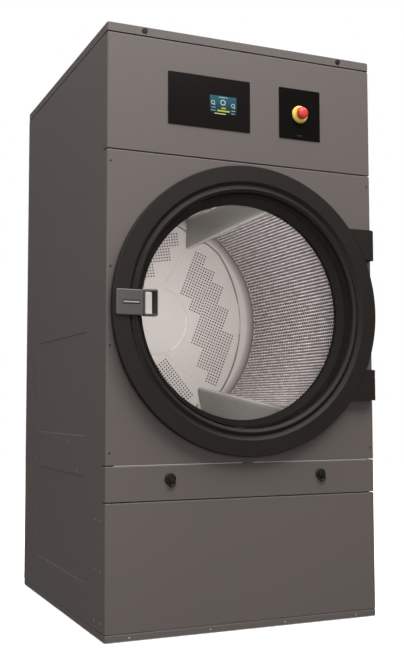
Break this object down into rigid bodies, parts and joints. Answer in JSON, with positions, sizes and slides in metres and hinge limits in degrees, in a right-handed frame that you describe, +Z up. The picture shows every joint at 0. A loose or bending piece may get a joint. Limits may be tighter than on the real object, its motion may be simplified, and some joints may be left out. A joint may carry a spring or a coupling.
{
  "type": "tumble dryer",
  "caption": "Upright commercial tumble dryer with a full-width round glazed door, visible drum, lint drawer, touch screen and emergency stop.",
  "frame": {"origin": "on the floor, under the middle of the machine's outer box", "axes": "+Z up, -Y out of the door at the front, +X towards the door's hinges"},
  "size_m": [0.985, 1.182, 1.965],
  "materials": {
    "cabinet_paint": "semi-gloss grey powder coat",
    "galvanised": "bare galvanised sheet",
    "stainless": "satin stainless steel",
    "dark_plastic": "moulded, fine grain",
    "gloss_black": "gloss",
    "screen": "back-lit display glass",
    "window_glass": "clear tempered glass",
    "rubber": "matt",
    "latch_metal": "satin silver-grey",
    "machined_steel": "machined",
    "cast_iron": "dark enamel",
    "aluminium": "cast and turned",
    "stop_red": "gloss",
    "stop_yellow": "satin"
  },
  "bodies": {
    "cabinet": {"base_plinth": "cabinet_paint", "side_panel_left": "cabinet_paint", "side_panel_right": "cabinet_paint", "control_fascia": "cabinet_paint", "door_panel": "cabinet_paint", "lower_front_panel": "cabinet_paint", "rear_panel": "galvanised", "front_bulkhead": "galvanised", "rear_bulkhead": "galvanised", "control_shelf": "galvanised", "heater_box": "galvanised", "fan_housing": "galvanised", "exhaust_collar": "galvanised", "cable_gland": "dark_plastic", "hinge_bracket_upper": "dark_plastic", "hinge_bracket_lower": "dark_plastic", "display_bezel": "gloss_black", "estop_plate": "gloss_black", "touch_screen": "screen", "levelling_foot_1": "rubber", "levelling_foot_2": "rubber", "levelling_foot_3": "rubber", "levelling_foot_4": "rubber", "door_seal": "rubber", "drive_belt": "rubber", "hinge_pin_upper": "machined_steel", "hinge_pin_lower": "machined_steel", "bearing_front": "machined_steel", "bearing_rear": "machined_steel", "bearing_housing": "cast_iron", "drive_motor": "cast_iron", "fan_motor": "cast_iron", "estop_collar": "stop_yellow"},
    "top_lid": {"top_lid": "cabinet_paint"},
    "lid_lock_left": {"lid_lock_left": "gloss_black"},
    "lid_lock_right": {"lid_lock_right": "gloss_black"},
    "estop_stem": {"estop_stem": "dark_plastic"},
    "estop_head": {"estop_head": "stop_red"},
    "door": {"door_ring": "dark_plastic", "door_back_plate": "galvanised", "door_inner_frame": "dark_plastic", "door_glass": "window_glass", "glass_gasket": "rubber", "latch_plate": "latch_metal", "pull_handle": "latch_metal", "hinge_arm_upper": "dark_plastic", "hinge_arm_lower": "dark_plastic"},
    "drum": {"drum_shell": "stainless", "drum_back_plate": "stainless", "drum_lifter_1": "stainless", "drum_lifter_2": "stainless", "drum_lifter_3": "stainless", "drum_shaft": "machined_steel", "drum_pulley": "aluminium"},
    "motor_pulley": {"motor_pulley": "machined_steel"},
    "fan_wheel": {"fan_wheel": "aluminium"},
    "lint_drawer": {"lint_drawer_front": "cabinet_paint", "lint_tray": "galvanised"},
    "drawer_lock_left": {"drawer_lock_left": "dark_plastic"},
    "drawer_lock_right": {"drawer_lock_right": "dark_plastic"}
  },
  "joints": [
    {"name": "door_hinge", "type": "hinge", "parent": "cabinet", "child": "door", "pos_m": [0.481, -0.564, 1.046], "axis": [0, 0, 1], "range_deg": [0, 180]},
    {"name": "drum_spin", "type": "hinge", "parent": "cabinet", "child": "drum", "pos_m": [0, -0.073, 1.085], "axis": [0, 1, 0], "continuous": true},
    {"name": "motor_spin", "type": "hinge", "parent": "cabinet", "child": "motor_pulley", "pos_m": [0.395, 0.484, 0.65], "axis": [0, 1, 0], "continuous": true},
    {"name": "fan_spin", "type": "hinge", "parent": "cabinet", "child": "fan_wheel", "pos_m": [0, 0.194, 0.285], "axis": [1, 0, 0], "continuous": true},
    {"name": "lint_drawer_slide", "type": "slide", "parent": "cabinet", "child": "lint_drawer", "axis": [0, -1, 0], "range_m": [0, 0.45]},
    {"name": "drawer_lock_left_turn", "type": "hinge", "parent": "lint_drawer", "child": "drawer_lock_left", "pos_m": [-0.276, -0.541, 0.497], "axis": [0, -1, 0], "range_deg": [0, 90]},
    {"name": "drawer_lock_right_turn", "type": "hinge", "parent": "lint_drawer", "child": "drawer_lock_right", "pos_m": [0.276, -0.541, 0.497], "axis": [0, -1, 0], "range_deg": [0, 90]},
    {"name": "lid_hinge", "type": "hinge", "parent": "cabinet", "child": "top_lid", "pos_m": [0, 0.541, 1.9355], "axis": [-1, 0, 0], "range_deg": [0, 60]},
    {"name": "lid_lock_left_turn", "type": "hinge", "parent": "top_lid", "child": "lid_lock_left", "pos_m": [-0.365, -0.541, 1.952], "axis": [0, -1, 0], "range_deg": [0, 90]},
    {"name": "lid_lock_right_turn", "type": "hinge", "parent": "top_lid", "child": "lid_lock_right", "pos_m": [0.365, -0.541, 1.952], "axis": [0, -1, 0], "range_deg": [0, 90]},
    {"name": "estop_press", "type": "slide", "parent": "cabinet", "child": "estop_stem", "axis": [0, 1, 0], "range_m": [0, 0.005]},
    {"name": "estop_release", "type": "hinge", "parent": "estop_stem", "child": "estop_head", "pos_m": [0.207, -0.561, 1.74], "axis": [0, -1, 0], "range_deg": [0, 45], "stiffness_Nm_per_rad": 0.2}
  ],
  "couplings": [
    {"joint": "motor_spin", "follows": "drum_spin", "ratio": 12.5}
  ]
}
